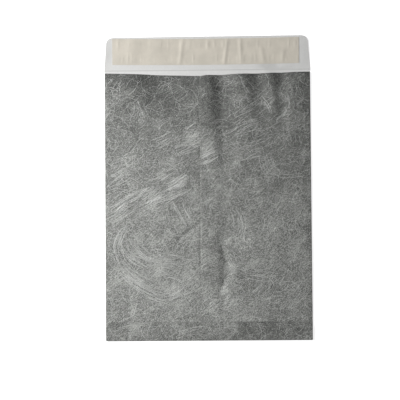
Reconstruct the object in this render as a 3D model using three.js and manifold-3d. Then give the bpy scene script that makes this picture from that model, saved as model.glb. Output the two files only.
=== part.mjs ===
// Spunbond envelope, lying front down with the seal flap open. Millimetres, +Z up, flap towards +Y.
// One folded sheet, an adhesive strip on its flap and the release strip over the adhesive.
import * as THREE from "three";
import { mergeVertices } from "three/addons/utils/BufferGeometryUtils.js";
import Module from "manifold-3d";

const wasm = await Module();
wasm.setup();

// Driving sizes
const WIDTH = 254;
const LENGTH = 330.2;
const SHEET = 0.2;
const GLUE = 0.1;
const FOLD_RADIUS = 0.55;
const PILLOW_RISE = 8.5;
const PILLOW_FULL_AT = 0.62;
const PILLOW_AT_MOUTH = 0.92;

// Back panels: the right one lies over the left one
const SEAM_EDGE = -9.7;
const HIDDEN_EDGE = 11.7;
const STEP_END = 19;
const SEAM_STEP = 0.34;
const SEAM_STEP_FULL_AT = 60;
const THROAT_LEFT = 4.9;
const THROAT_RIGHT = 4.0;
const CLIP_START = -2;
const CLIP_DROP = 1.2;
const LIP_LENGTH = 9;
const LIP_DROP = 1.1;

// Bottom flap, folded up outside the back panels
const BOTTOM_FLAP = 23.2;
const BOTTOM_HALF = 126.6;
const BOTTOM_CORNER = 7;
const BOTTOM_BEND = 0.95;
const BOTTOM_LAP = 4;
const BOTTOM_STEP_START = -14;
const BOTTOM_CURL = 0.6;
const BOTTOM_CURL_START = 84;
const BOTTOM_CURL_SPAN = 42;

// Seal flap, opened flat
const FLAP_TOP = 375.2;
const FLAP_SKEW = 0.0035;
const FLAP_ROOT_HALF = 127.5;
const FLAP_ROOT = 333.4;
const FLAP_TAPER = 0.07;
const FLAP_CORNER = 8;
const FLAP_LAP = 6;
const FLAP_NECK_HALF = 126.2;
const FLAP_NECK_RISE = 0.4;
const FLAP_NECK_RUN = 1.4;
const FLAP_LIFT = 0.5;
const FLAP_MIDDLE_LIFT = 0.55;
const FLAP_HIGH_INSET = 3;

// Adhesive and release strips
const STRIP_LEFT = -117.4;
const STRIP_RIGHT = 113.5;
const STRIP_LOW = 341;
const STRIP_HIGH = 373.3;
const STRIP_SHEET = 0.1;
const STRIP_SAG = 1;
const STRIP_GAP = 0.05;
const ADHESIVE_INSET = 2.5;
const ADHESIVE_SHEET = 0.08;

// The highest corner of the skewed flap sets the overall length
const TOTAL = FLAP_TOP + FLAP_SKEW * (FLAP_ROOT_HALF - FLAP_CORNER - FLAP_HIGH_INSET);
const Y_SHIFT = -TOTAL / 2;

// Soft valleys that run down from the mouth: place, widths of both walls, depth, reach and lean
const VALLEYS = [
  { x: -59, left: 18, right: 44, depth: 5.3, reach: 100, lean: 0 },
  { x: -20, left: 8, right: 10, depth: 1.6, reach: 60, lean: 0 },
  { x: 15, left: 10.5, right: 15, depth: 5.2, reach: 160, lean: 0.05 },
  { x: 61, left: 12, right: 12.5, depth: 4.2, reach: 105, lean: 0.12 },
  { x: 90, left: 8.5, right: 9.5, depth: 2.8, reach: 110, lean: 0.05 },
];

// Grooves pressed in by handling, along straight runs: the long one beside the seam and the kink across it
const GROOVES = [
  { from: [22, 152], to: [17, 25], depth: 0.9, width: 7 },
  { from: [10, 130], to: [20, 90], depth: 0.8, width: 3 },
  { from: [20, 89], to: [12, 63], depth: 0.8, width: 3 },
];
const GROOVE_ROUND = 0.35;
const GROOVE_END = 8;
const GROOVE_PAST = 3;
const LOOSE_AT = 2;

// Puckers of the release strip: place along it, width, height, lean, start and end across it
const PUCKERS = [
  { x: -95, width: 9, height: 0.35, lean: 0.1, from: 0, to: 1 },
  { x: -60, width: 10, height: 0.35, lean: -0.1, from: 0, to: 1 },
  { x: -34, width: 2.6, height: 0.35, lean: 0.13, from: 0, to: 1 },
  { x: 21, width: 2.4, height: 0.4, lean: 0.13, from: 0, to: 1 },
  { x: 42, width: 2.4, height: 0.4, lean: -0.03, from: 0, to: 1 },
  { x: 70, width: 3, height: 0.35, lean: -0.15, from: 0, to: 0.7 },
  { x: 92, width: 3, height: 0.35, lean: 0.15, from: 0, to: 0.6 },
];
const PUCKER_REACH = 0.62;
const PUCKER_FADE = 0.3;

const spaced = (from, to, steps) => {
  const pitch = (to - from) / steps;
  return Array.from({ length: steps + 1 }, (_, k) => from + pitch * k);
};

// Stations across the back, shared by every layer so that stacked layers never cross
const FOLD_X = WIDTH / 2 - FOLD_RADIUS - SHEET / 2;
const OVERLAP_X = [SEAM_EDGE, -5, CLIP_START, 3, 8, HIDDEN_EDGE];
const LEFT_X = [
  -FOLD_X, -118, -108, -98, -89, -82, -76, -70, -64, -55, -45, -36, -29, -23, -17, ...OVERLAP_X,
];
const RIGHT_X = [
  ...OVERLAP_X, 15, STEP_END, 23, 28, 34, 41, 47, 53, 59, 65, 72, 78, 83, 88, 93, 100, 109, 118, FOLD_X,
];
const FRONT_X = [-FOLD_X, -60, SEAM_EDGE, 60, FOLD_X];
const BOTTOM_X = [
  -BOTTOM_HALF, -126, -124, -BOTTOM_HALF + BOTTOM_CORNER, -108, -98, -89, -55, BOTTOM_STEP_START, SEAM_EDGE,
  HIDDEN_EDGE, STEP_END, 53, 88, 100, 109, BOTTOM_HALF - BOTTOM_CORNER, 124, 126, BOTTOM_HALF,
];

// Rows along the body: level ones up to the lip, then rows that close up on the slanted mouth
const LIP_START = 315;
const BODY_ROWS = [BOTTOM_BEND, 8, 16, ...spaced(25, 152, 12), ...spaced(170, LIP_START, 9)];
const LIP_ROWS = [0.27, 0.5, 0.7, 0.86, 1];
const ARC_STEPS = 6;

const clamp01 = (value) => Math.min(1, Math.max(0, value));
const ease = (value) => clamp01(value) ** 2 * (3 - 2 * clamp01(value));

/** Upper end of a back panel at x: the mouth is a shallow V that falls to the seam. */
function leftMouth(x) {
  return LENGTH - (THROAT_LEFT * (x + WIDTH / 2)) / (SEAM_EDGE + WIDTH / 2);
}

function rightMouth(x) {
  const slope = LENGTH - (THROAT_RIGHT * (WIDTH / 2 - x)) / (WIDTH / 2 - CLIP_START);
  return slope - CLIP_DROP * clamp01((CLIP_START - x) / (CLIP_START - SEAM_EDGE));
}

/** How far a valley sinks the back at x, at a distance down from the mouth. */
function valleyDip(valley, x, down) {
  const offset = x - valley.x - valley.lean * down;
  const share = offset / (offset < 0 ? valley.left : valley.right);
  return valley.depth * Math.exp(-share * share) * (1 - ease(down / valley.reach));
}

/** How far a groove sinks the back: a rounded V across its run that fades out at both ends. */
function grooveDip(groove, x, y) {
  const run = [groove.to[0] - groove.from[0], groove.to[1] - groove.from[1]];
  const length = Math.hypot(...run);
  const away = [x - groove.from[0], y - groove.from[1]];
  const along = (away[0] * run[0] + away[1] * run[1]) / length;
  const across = (away[1] * run[0] - away[0] * run[1]) / length;
  const ends = ease((along + GROOVE_PAST) / GROOVE_END) * ease((length + GROOVE_PAST - along) / GROOVE_END);
  return groove.depth * Math.exp(GROOVE_ROUND - Math.hypot(across / groove.width, GROOVE_ROUND)) * ends;
}

/** Middle height of the lower back layer: a sprung pocket with soft valleys at its mouth. */
function backHeight(x, y) {
  const along = clamp01(y / LENGTH);
  const across = Math.max(0, 1 - (x / FOLD_X) ** 2);
  const fall = (1 - PILLOW_AT_MOUTH) * ease((along - PILLOW_FULL_AT) / (1 - PILLOW_FULL_AT));
  const pillow = PILLOW_RISE * across * (ease(along / PILLOW_FULL_AT) - fall);
  const loose = Math.min(1, pillow / LOOSE_AT);
  const down = Math.max(0, LENGTH - y);
  const lip = ease((y - rightMouth(Math.abs(x)) + LIP_LENGTH) / LIP_LENGTH);
  let height = SHEET / 2 + 2 * FOLD_RADIUS + pillow - LIP_DROP * across * lip;
  for (const valley of VALLEYS) height -= valleyDip(valley, x, down);
  for (const groove of GROOVES) height -= loose * grooveDip(groove, x, y);
  return height;
}

/** Middle height of the right panel, which steps down past the hidden edge of the left one. */
function rightHeight(x, y) {
  const over = 1 - ease((x - HIDDEN_EDGE) / (STEP_END - HIDDEN_EDGE));
  const glued = SHEET + GLUE;
  return backHeight(x, y) + over * (glued + (SEAM_STEP - glued) * ease(y / SEAM_STEP_FULL_AT));
}

/** Middle height of the bottom flap over one or two panels, with its free corners slightly lifted. */
function bottomHeight(x, y) {
  const covered = x < SEAM_EDGE ? ease((x - BOTTOM_STEP_START) / (SEAM_EDGE - BOTTOM_STEP_START)) : 1;
  const under = backHeight(x, y) + (rightHeight(x, y) - backHeight(x, y)) * covered;
  const outward = ease((Math.abs(x) - BOTTOM_CURL_START) / BOTTOM_CURL_SPAN);
  return under + SHEET + GLUE + BOTTOM_CURL * outward * ease(y / BOTTOM_FLAP);
}

/** Middle height of the seal flap, which lies open with its free edge barely lifted. */
function flapHeight(x, y) {
  const up = ease((y - FLAP_ROOT) / (FLAP_TOP - FLAP_ROOT));
  const lift = FLAP_MIDDLE_LIFT + (1 - FLAP_MIDDLE_LIFT) * (x / FLAP_ROOT_HALF) ** 2;
  return SHEET / 2 + FLAP_LIFT * up * lift;
}

/** Half width of the seal flap at y: neck inside the body, root, tapered sides and round corners. */
function flapHalf(y) {
  const neckEnd = LENGTH + FLAP_NECK_RISE;
  if (y <= neckEnd) return FLAP_NECK_HALF;
  const root = FLAP_NECK_HALF + (FLAP_ROOT_HALF - FLAP_NECK_HALF) * clamp01((y - neckEnd) / FLAP_NECK_RUN);
  const into = Math.max(0, y - (FLAP_TOP - FLAP_CORNER));
  const round = FLAP_CORNER - Math.sqrt(Math.max(0, FLAP_CORNER ** 2 - into ** 2));
  return root - FLAP_TAPER * Math.max(0, y - FLAP_ROOT) - round;
}

/** Turns the cell diagonals of a box's far side, so that both sides of a twisted sheet bend alike. */
function matchDiagonals(box) {
  const farSide = box.groups.find((group) => group.materialIndex === 5);
  const corners = box.index.array;
  for (let k = farSide.start; k < farSide.start + farSide.count; k += 6) {
    const [a, b, d] = corners.slice(k, k + 3);
    const c = corners[k + 4];
    corners.set([a, b, c, a, c, d], k);
  }
}

/** A box cut into cells and bent: place(i, j, w) gives the point for a cell corner and a thickness place. */
function bentBox(across, along, thickness, place) {
  const box = new THREE.BoxGeometry(1, 1, thickness, across, along, 1);
  matchDiagonals(box);
  const points = box.attributes.position;
  for (let k = 0; k < points.count; k += 1) {
    const i = Math.round((points.getX(k) + 0.5) * across);
    const j = Math.round((points.getY(k) + 0.5) * along);
    const [x, y, z] = place(i, j, points.getZ(k));
    points.setXYZ(k, x, y + Y_SHIFT, z);
  }
  box.deleteAttribute("normal");
  box.deleteAttribute("uv");
  return mergeVertices(box, 1e-5);
}

function toSolid(geometry) {
  const mesh = new wasm.Mesh({
    numProp: 3,
    vertProperties: new Float32Array(geometry.attributes.position.array),
    triVerts: new Uint32Array(geometry.index.array),
  });
  return new wasm.Manifold(mesh);
}

function toGeometry(solid) {
  const mesh = solid.getMesh();
  const geometry = new THREE.BufferGeometry();
  geometry.setAttribute("position", new THREE.BufferAttribute(new Float32Array(mesh.vertProperties), 3));
  geometry.setIndex(new THREE.BufferAttribute(new Uint32Array(mesh.triVerts), 1));
  geometry.computeVertexNormals();
  return geometry;
}

/** The rolled sheet: left panel, left fold, front panel, right fold, right panel. */
function rolledSheet() {
  const path = [];
  const foldMid = SHEET / 2 + FOLD_RADIUS;
  for (const x of [...LEFT_X].reverse()) {
    path.push((y) => ({ at: [x, backHeight(x, y)], inner: [0, -1], top: leftMouth(x) }));
  }
  for (let k = 1; k < ARC_STEPS; k += 1) {
    const turn = Math.PI / 2 + (Math.PI * k) / ARC_STEPS;
    const out = [Math.cos(turn), Math.sin(turn)];
    const at = [-FOLD_X + FOLD_RADIUS * out[0], foldMid + FOLD_RADIUS * out[1]];
    path.push(() => ({ at, inner: [-out[0], -out[1]], top: LENGTH }));
  }
  for (const x of FRONT_X) {
    path.push(() => ({ at: [x, SHEET / 2], inner: [0, 1], top: LENGTH }));
  }
  for (let k = 1; k < ARC_STEPS; k += 1) {
    const turn = -Math.PI / 2 + (Math.PI * k) / ARC_STEPS;
    const out = [Math.cos(turn), Math.sin(turn)];
    const at = [FOLD_X + FOLD_RADIUS * out[0], foldMid + FOLD_RADIUS * out[1]];
    path.push(() => ({ at, inner: [-out[0], -out[1]], top: LENGTH }));
  }
  for (const x of [...RIGHT_X].reverse()) {
    path.push((y) => ({ at: [x, rightHeight(x, y)], inner: [0, -1], top: rightMouth(x) }));
  }
  const rows = BODY_ROWS.length + LIP_ROWS.length;
  return bentBox(path.length - 1, rows - 1, SHEET, (i, j, w) => {
    const top = path[i](LENGTH).top;
    const past = j - BODY_ROWS.length;
    const y = past < 0 ? BODY_ROWS[j] : LIP_START + (top - LIP_START) * LIP_ROWS[past];
    const { at, inner } = path[i](y);
    return [at[0] + w * inner[0], y, at[1] + w * inner[1]];
  });
}

/** The bottom flap: from inside the front panel, round the bottom fold and up over the back panels. */
function bottomFlap() {
  const upRows = [0.12, 0.35, 0.7, 1];
  const rows = 1 + ARC_STEPS + upRows.length;
  return bentBox(BOTTOM_X.length - 1, rows, SHEET, (i, j, w) => {
    const x = BOTTOM_X[i];
    const inset = Math.max(0, Math.abs(x) - (BOTTOM_HALF - BOTTOM_CORNER));
    const end = BOTTOM_FLAP - (BOTTOM_CORNER - Math.sqrt(Math.max(0, BOTTOM_CORNER ** 2 - inset ** 2)));
    const lapX = Math.sign(x) * Math.min(Math.abs(x), FLAP_NECK_HALF);
    if (j === 0) return [lapX, BOTTOM_BEND + BOTTOM_LAP, SHEET / 2 - w];
    const low = SHEET / 2;
    const high = bottomHeight(x, BOTTOM_BEND);
    if (j <= 1 + ARC_STEPS) {
      const turn = (Math.PI * (j - 1)) / ARC_STEPS;
      const reach = (BOTTOM_BEND - SHEET / 2 + w) * Math.sin(turn);
      const z = (low + high) / 2 - ((high - low) / 2 + w) * Math.cos(turn);
      return [j === 1 ? lapX : x, BOTTOM_BEND - reach, z];
    }
    const y = BOTTOM_BEND + (end - BOTTOM_BEND) * upRows[j - 2 - ARC_STEPS];
    return [x, y, bottomHeight(x, y) + w];
  });
}

/** The seal flap, lapped into the front panel below the score line. */
function sealFlap() {
  const columns = 14;
  const neckEnd = LENGTH + FLAP_NECK_RISE;
  const rows = [
    LENGTH - FLAP_LAP, neckEnd, neckEnd + FLAP_NECK_RUN, 340, 350, 360, FLAP_TOP - FLAP_CORNER,
    FLAP_TOP - 4.5, FLAP_TOP - 2.2, FLAP_TOP - 0.8, FLAP_TOP,
  ];
  return bentBox(columns, rows.length - 1, SHEET, (i, j, w) => {
    const flat = rows[j];
    const x = flapHalf(flat) * ((2 * i) / columns - 1);
    const y = flat + FLAP_SKEW * x * ease((flat - FLAP_ROOT) / (FLAP_TOP - FLAP_ROOT));
    return [x, y, flapHeight(x, flat) + w];
  });
}

/** The strips are laid in a slight bow: how far below their ends' line they lie at x. */
function stripBow(x) {
  const share = (2 * x - STRIP_LEFT - STRIP_RIGHT) / (STRIP_RIGHT - STRIP_LEFT);
  return -STRIP_SAG * (1 - share * share);
}

/** A flat strip laid over the seal flap at a height above it, with an optional lift. */
function stripOnFlap(left, right, low, high, thickness, above, columns, rows, lift) {
  return bentBox(columns, rows, thickness, (i, j, w) => {
    const x = left + ((right - left) * i) / columns;
    const y = low + ((high - low) * j) / rows + stripBow(x);
    const base = flapHeight(x, y) + SHEET / 2 + above + thickness / 2;
    return [x, y, base + lift(x, y - stripBow(x)) + w];
  });
}

/** Lift of the release strip off the adhesive where it puckers. */
function puckerLift(x, y) {
  const across = (y - STRIP_LOW) / (STRIP_HIGH - STRIP_LOW);
  let lift = 0;
  for (const pucker of PUCKERS) {
    const offset = (x - pucker.x - pucker.lean * (y - STRIP_LOW)) / pucker.width;
    const middle = (pucker.from + pucker.to) / 2;
    const reach = PUCKER_REACH * (pucker.to - pucker.from);
    const fade = ease((reach - Math.abs(across - middle)) / PUCKER_FADE);
    lift += pucker.height * Math.exp(-offset * offset) * fade;
  }
  return lift;
}

function named(name, geometry, colour, roughness) {
  const material = new THREE.MeshStandardMaterial({ color: colour, roughness, metalness: 0 });
  const mesh = new THREE.Mesh(geometry, material);
  mesh.name = name;
  return mesh;
}

const pocket = toSolid(rolledSheet());
const withBottom = pocket.add(toSolid(bottomFlap()));
const envelope = toGeometry(withBottom.add(toSolid(sealFlap())));

const adhesiveAbove = STRIP_GAP;
const adhesive = stripOnFlap(
  STRIP_LEFT + ADHESIVE_INSET, STRIP_RIGHT - ADHESIVE_INSET,
  STRIP_LOW + ADHESIVE_INSET, STRIP_HIGH - ADHESIVE_INSET,
  ADHESIVE_SHEET, adhesiveAbove, 24, 2, () => 0,
);
const releaseAbove = adhesiveAbove + ADHESIVE_SHEET + STRIP_GAP;
const release = stripOnFlap(
  STRIP_LEFT, STRIP_RIGHT, STRIP_LOW, STRIP_HIGH, STRIP_SHEET, releaseAbove, 92, 4, puckerLift,
);

const group = new THREE.Group();
group.name = "spunbond_envelope";
group.add(named("envelope", envelope, 0x878986, 0.7));
group.add(named("adhesive_strip", adhesive, 0xe8e4d8, 0.35));
group.add(named("release_strip", release, 0xd9d2c3, 0.55));

export default group;
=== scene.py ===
"""Spunbond envelope: the folded sheet, the adhesive band and the release strip, dressed for a studio.

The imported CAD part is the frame. The folded sheet and the release strip are finer meshes that stand for
their CAD solids, and the adhesive band keeps its solid and gets a finish. Sizes are millimetres, with x
from the middle of the envelope and y from its bottom fold, and become metres in the row frame when a
mesh is made.
"""

import logging
import math
from dataclasses import dataclass
from enum import Enum, IntEnum
from typing import ClassVar

import bpy
import numpy as np
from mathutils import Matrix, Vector


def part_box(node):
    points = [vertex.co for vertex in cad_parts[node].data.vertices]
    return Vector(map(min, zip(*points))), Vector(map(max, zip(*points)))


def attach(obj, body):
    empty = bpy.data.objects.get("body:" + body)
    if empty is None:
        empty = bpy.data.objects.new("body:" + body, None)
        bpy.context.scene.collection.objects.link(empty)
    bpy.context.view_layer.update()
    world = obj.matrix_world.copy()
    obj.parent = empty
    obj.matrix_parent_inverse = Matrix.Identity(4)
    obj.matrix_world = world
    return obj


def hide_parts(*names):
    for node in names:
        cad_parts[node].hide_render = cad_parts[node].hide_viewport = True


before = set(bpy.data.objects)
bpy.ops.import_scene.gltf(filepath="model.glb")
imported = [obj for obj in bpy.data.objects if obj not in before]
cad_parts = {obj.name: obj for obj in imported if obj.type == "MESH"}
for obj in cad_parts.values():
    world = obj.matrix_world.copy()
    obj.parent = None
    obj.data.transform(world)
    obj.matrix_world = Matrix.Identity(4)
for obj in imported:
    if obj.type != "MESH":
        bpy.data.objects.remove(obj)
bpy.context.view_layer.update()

MM = 0.001
BODY_WIDTH = 254.0
SHARP_ANGLE = 50.0
FLAT_MAP = "flat_sheet"
LOG = logging.getLogger("spunbond_envelope")

Piece = bpy.types.Object
Material = bpy.types.Material
Socket = bpy.types.NodeSocket
Colour = tuple[float, float, float]
Feed = Socket | float | tuple[float, ...]
Feeds = dict[str | int, Feed]


def ease(value: np.ndarray | float) -> np.ndarray:
    """Smooth step from 0 to 1.

    Args:
        value: place between the two ends, cut off at 0 and 1.

    Returns:
        The eased value.
    """
    cut = np.clip(value, 0.0, 1.0)
    return cut * cut * (3.0 - 2.0 * cut)


def spread(start: float, stop: float, pitch: float) -> np.ndarray:
    """Even stations from start to stop, no further apart than pitch."""
    return np.linspace(start, stop, max(2, math.ceil(abs(stop - start) / pitch) + 1))


def chained(places: tuple[float, ...], pitches: tuple[float, ...]) -> np.ndarray:
    """Stations from place to place, with a pitch for each stretch."""
    stretches = [spread(*stretch) for stretch in zip(places, places[1:], pitches)]
    return np.concatenate([stretch[:-1] for stretch in stretches[:-1]] + stretches[-1:])


class NodeSketch:
    """Adds nodes to one tree and links them, so that a finish reads as a list of steps."""

    def __init__(self, tree: bpy.types.NodeTree) -> None:
        """Keeps the tree that the nodes go into."""
        self.tree = tree

    def add(self, kind: str, feeds: Feeds | None = None, **settings: object) -> bpy.types.Node:
        """Adds one node.

        Args:
            kind: the node's type.
            feeds: what each input gets, by name or number: another node's output, or a value.
            settings: the node's own options.

        Returns:
            The new node.
        """
        node = self.tree.nodes.new(kind)
        for name, value in settings.items():
            setattr(node, name, value)
        for key, feed in (feeds or {}).items():
            if isinstance(feed, Socket):
                self.tree.links.new(feed, node.inputs[key])
            else:
                node.inputs[key].default_value = feed
        return node

    def output(self, kind: str, feeds: Feeds | None = None, **settings: object) -> Socket:
        """Adds one node as add does, and gives its first output."""
        return self.add(kind, feeds, **settings).outputs[0]

    def math(self, operation: str, first: Feed, second: Feed = 0.0) -> Socket:
        """One sum of two numbers."""
        return self.output("ShaderNodeMath", {0: first, 1: second}, operation=operation)

    def vector(self, operation: str, first: Feed, second: Feed = (0.0, 0.0, 0.0)) -> Socket:
        """One sum of two vectors."""
        return self.output("ShaderNodeVectorMath", {0: first, 1: second}, operation=operation)

    def scale(self, vector: Feed, factor: Feed) -> Socket:
        """A vector times a number."""
        return self.output("ShaderNodeVectorMath", {0: vector, "Scale": factor}, operation="SCALE")

    def total(self, parts: list[Socket]) -> Socket:
        """The sum of several numbers."""
        result = parts[0]
        for part in parts[1:]:
            result = self.math("ADD", result, part)
        return result

    def swing(self, value: Feed, gain: float, peak: float = 0.0) -> Socket:
        """A pattern from 0 to 1, made to swing about zero.

        Args:
            value: the pattern.
            gain: how far it swings.
            peak: how much its high side is drawn out.

        Returns:
            The swinging pattern.
        """
        offset = self.math("SUBTRACT", value, 0.5)
        feeds = {0: offset, 1: gain * peak, 2: gain}
        return self.math("MULTIPLY", offset, self.output("ShaderNodeMath", feeds, operation="MULTIPLY_ADD"))

    def fade(self, value: Feed, start: Feed, stop: Feed, low: float = 0.0, high: float = 1.0) -> Socket:
        """A smooth step of a number from low at start to high at stop."""
        feeds = {0: value, 1: start, 2: stop, 3: low, 4: high}
        return self.output("ShaderNodeMapRange", feeds, interpolation_type="SMOOTHSTEP")

    def noise(self, place: Feed, scale: float, detail: float, roughness: float = 0.5) -> Socket:
        """A noise pattern from 0 to 1 at a place, with features of about one over scale."""
        feeds = {"Vector": place, "Scale": scale, "Detail": detail, "Roughness": roughness}
        return self.add("ShaderNodeTexNoise", feeds).outputs["Fac"]

    def drift(self, place: Feed, scale: float, detail: float) -> Socket:
        """A noise vector at a place that swings about zero, by a half each way."""
        feeds = {"Vector": place, "Scale": scale, "Detail": detail}
        noise = self.add("ShaderNodeTexNoise", feeds).outputs["Color"]
        return self.vector("SUBTRACT", noise, (0.5, 0.5, 0.5))

    def mix(self, factor: Feed, first: Colour, second: Colour) -> Socket:
        """A colour between two colours, or past the second one where the factor is over 1."""
        feeds = {0: factor, 6: (*first, 1.0), 7: (*second, 1.0)}
        return self.add("ShaderNodeMix", feeds, data_type="RGBA", clamp_factor=False).outputs[2]

    def stored(self, name: str, kind: str = "FLOAT") -> Socket:
        """A named attribute of the geometry."""
        return self.output("GeometryNodeInputNamedAttribute", {0: name}, data_type=kind)

    def seen(self) -> Socket:
        """1 for a ray that shows something to the camera, also in gloss and through glass."""
        path = self.add("ShaderNodeLightPath").outputs
        shown = self.math("MAXIMUM", path["Is Camera Ray"], path["Is Glossy Ray"])
        return self.math("MAXIMUM", shown, path["Is Transmission Ray"])

    def surface(
        self, colour: Socket, rough: Socket, height: Socket, relief: float, reach: float, specular: float
    ) -> None:
        """Feeds the tree's principled shader.

        Args:
            colour: the base colour.
            rough: the roughness.
            height: the pattern that stands out of the surface.
            relief: how strongly it shows.
            reach: how far it stands out, in metres.
            specular: the shader's specular level.
        """
        shader = self.tree.nodes["Principled BSDF"]
        bump = self.output("ShaderNodeBump", {"Strength": relief, "Distance": reach, "Height": height})
        for label, feed in (("Base Color", colour), ("Roughness", rough), ("Normal", bump)):
            self.tree.links.new(feed, shader.inputs[label])
        shader.inputs["Specular IOR Level"].default_value = specular


def new_material(name: str) -> tuple[Material, NodeSketch]:
    """Makes a node material with one principled shader.

    Args:
        name: the material's name.

    Returns:
        The material and a sketch of its tree.
    """
    material = bpy.data.materials.new(name)
    material.use_nodes = True
    return material, NodeSketch(material.node_tree)


class Panel(Enum):
    """The panels: sign and shift of x and sign of y that unfold a place to the flat sheet."""

    FRONT = (1.0, 0.0, 1.0)
    LEFT = (-1.0, -BODY_WIDTH, 1.0)
    RIGHT = (-1.0, BODY_WIDTH, 1.0)
    BOTTOM = (1.0, 0.0, -1.0)

    def unfold(self, x: float, y: float) -> tuple[float, float]:
        """Flat coordinates of a place on this panel as seen from above."""
        sign, shift, up = self.value
        return sign * x + shift, up * y


@dataclass(frozen=True)
class FibreAndLightingBand:
    """A change of the face's paleness along the sheet, eased in from start to end and kept past it: mostly
    a change of fibre density, and in some bands painted shade and painted light.

    The change is a share of the usual density.
    """

    start: float
    end: float
    change: float


@dataclass(frozen=True)
class FibreAndLightingPatch:
    """A soft ellipse on one panel, made paler or darker: mostly a patch of the fibre web where fibres lie
    denser or thinner, and in some patches painted light and painted shade on folds, valleys and creases.

    The change is a share of the usual density, and is negative where the patch is darker.
    """

    panel: Panel
    x: float
    y: float
    across: float
    along: float
    change: float


@dataclass(frozen=True)
class StrandLayer:
    """One set of fibre strands laid in about one direction, in millimetres and degrees.

    Strands show where a slow pattern from 0 to 1 is over the cover, so a negative one shows them all.
    """

    turn: float
    length: float
    width: float
    swirl: float
    swirl_size: float
    cover: float
    strength: float
    seed: float


@dataclass(frozen=True)
class SpunbondFinish:
    """The look of one face of the spunbond sheet: pale fibre strands swirled over a darker ground.

    The fibre at a place is a base with strands, their grain and a fuzz added by their gains, and peak draws
    out the pale side of the grain and the fuzz. Clouds, bands and patches change its density, and some
    bands and patches are painted shade and painted light as well. By depth the change makes the whole
    pattern stronger or weaker, and by level it makes the face paler or darker.
    """

    name: str
    ground: Colour
    strand: Colour
    headroom: float
    base: float
    strand_gain: float
    grain_gain: float
    fuzz_gain: float
    cloud_gain: float
    peak: float
    depth: float
    level: float
    roughness: tuple[float, float]
    relief: float
    grain: StrandLayer
    layers: tuple[StrandLayer, ...]
    bands: tuple[FibreAndLightingBand, ...]
    patches: tuple[FibreAndLightingPatch, ...]

    line_edge: ClassVar[float] = 0.095
    cover_scale: ClassVar[float] = 0.035
    cover_edge: ClassVar[float] = 0.16
    fuzz_scale: ClassVar[float] = 0.85
    cloud_scale: ClassVar[float] = 0.045
    ragged_scale: ClassVar[float] = 0.05
    ragged_reach: ClassVar[float] = 24.0
    bump_reach: ClassVar[float] = 0.2
    specular: ClassVar[float] = 0.25

    @classmethod
    def strand_group(cls) -> bpy.types.NodeTree:
        """Makes the node group that draws one layer of strands, once.

        Returns:
            The node group, with the layer's sizes as its inputs.
        """
        name = "strand_layer"
        if name in bpy.data.node_groups:
            return bpy.data.node_groups[name]
        tree = bpy.data.node_groups.new(name, "ShaderNodeTree")
        tree.interface.new_socket("Place", in_out="INPUT", socket_type="NodeSocketVector")
        for label in ("Turn", "Length", "Width", "Swirl", "Swirl Size", "Cover", "Seed"):
            tree.interface.new_socket(label, in_out="INPUT", socket_type="NodeSocketFloat")
        for label in ("Strand", "Comb"):
            tree.interface.new_socket(label, in_out="OUTPUT", socket_type="NodeSocketFloat")
        sketch = NodeSketch(tree)
        given = sketch.add("NodeGroupInput").outputs
        place = given["Place"]
        sizes = ("Swirl Size", "Length", "Width")
        pitch = {label: sketch.math("DIVIDE", 1.0, given[label]) for label in sizes}
        level = sketch.output("ShaderNodeCombineXYZ", {2: given["Seed"]})
        swirl_place = sketch.vector("ADD", sketch.scale(place, pitch["Swirl Size"]), level)
        push = sketch.scale(sketch.drift(swirl_place, 1.0, detail=1.2), given["Swirl"])
        feeds = {"Vector": sketch.vector("ADD", place, push), "Angle": given["Turn"]}
        turned = sketch.output("ShaderNodeVectorRotate", feeds, rotation_type="Z_AXIS")
        shape = sketch.output("ShaderNodeCombineXYZ", {0: pitch["Length"], 1: pitch["Width"]})
        combed = sketch.vector("ADD", sketch.vector("MULTIPLY", turned, shape), level)
        comb = sketch.noise(combed, 1.0, detail=1.0)
        off_line = sketch.math("ABSOLUTE", sketch.math("SUBTRACT", comb, 0.5))
        line = sketch.fade(off_line, 0.0, cls.line_edge, low=1.0, high=0.0)
        slow_place = sketch.vector("ADD", sketch.scale(place, cls.cover_scale), level)
        slow = sketch.noise(slow_place, 1.0, detail=1.5)
        cover = sketch.fade(slow, given["Cover"], sketch.math("ADD", given["Cover"], cls.cover_edge))
        sketch.add("NodeGroupOutput", {"Strand": sketch.math("MULTIPLY", line, cover), "Comb": comb})
        return tree

    def lay(self, sketch: NodeSketch, place: Socket, layer: StrandLayer) -> bpy.types.NodeOutputs:
        """Adds one strand layer.

        Args:
            sketch: the material's nodes.
            place: the place on the flat sheet, in millimetres.
            layer: the layer's sizes.

        Returns:
            How much strand lies at each place, and the combed pattern that the strands are drawn from.
        """
        feeds = {
            "Place": place, "Turn": math.radians(layer.turn), "Length": layer.length, "Width": layer.width,
            "Swirl": layer.swirl, "Swirl Size": layer.swirl_size, "Cover": layer.cover, "Seed": layer.seed,
        }
        return sketch.add("ShaderNodeGroup", feeds, node_tree=self.strand_group()).outputs

    def density(self, sketch: NodeSketch, place: Socket) -> list[Socket]:
        """Adds the changes of the bands and of the patches, whose edges are ragged: fibre density, and in
        some of them painted shade and painted light.

        Args:
            sketch: the material's nodes.
            place: the place on the flat sheet, in millimetres.

        Returns:
            One change of density for each band and patch.
        """
        along = sketch.add("ShaderNodeSeparateXYZ", {0: place}).outputs[1]
        parts = [sketch.fade(along, band.start, band.end, 0.0, band.change) for band in self.bands]
        drift = sketch.drift(place, self.ragged_scale, detail=2.0)
        push = sketch.vector("MULTIPLY", drift, (self.ragged_reach, self.ragged_reach, 0.0))
        ragged = sketch.vector("ADD", place, push)
        for patch in self.patches:
            away = sketch.vector("SUBTRACT", ragged, (*patch.panel.unfold(patch.x, patch.y), 0.0))
            share = sketch.vector("DIVIDE", away, (patch.across, patch.along, 1.0))
            reach = sketch.add("ShaderNodeVectorMath", {0: share}, operation="LENGTH").outputs["Value"]
            parts.append(sketch.fade(reach, 0.0, 1.0, patch.change, 0.0))
        return parts

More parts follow.
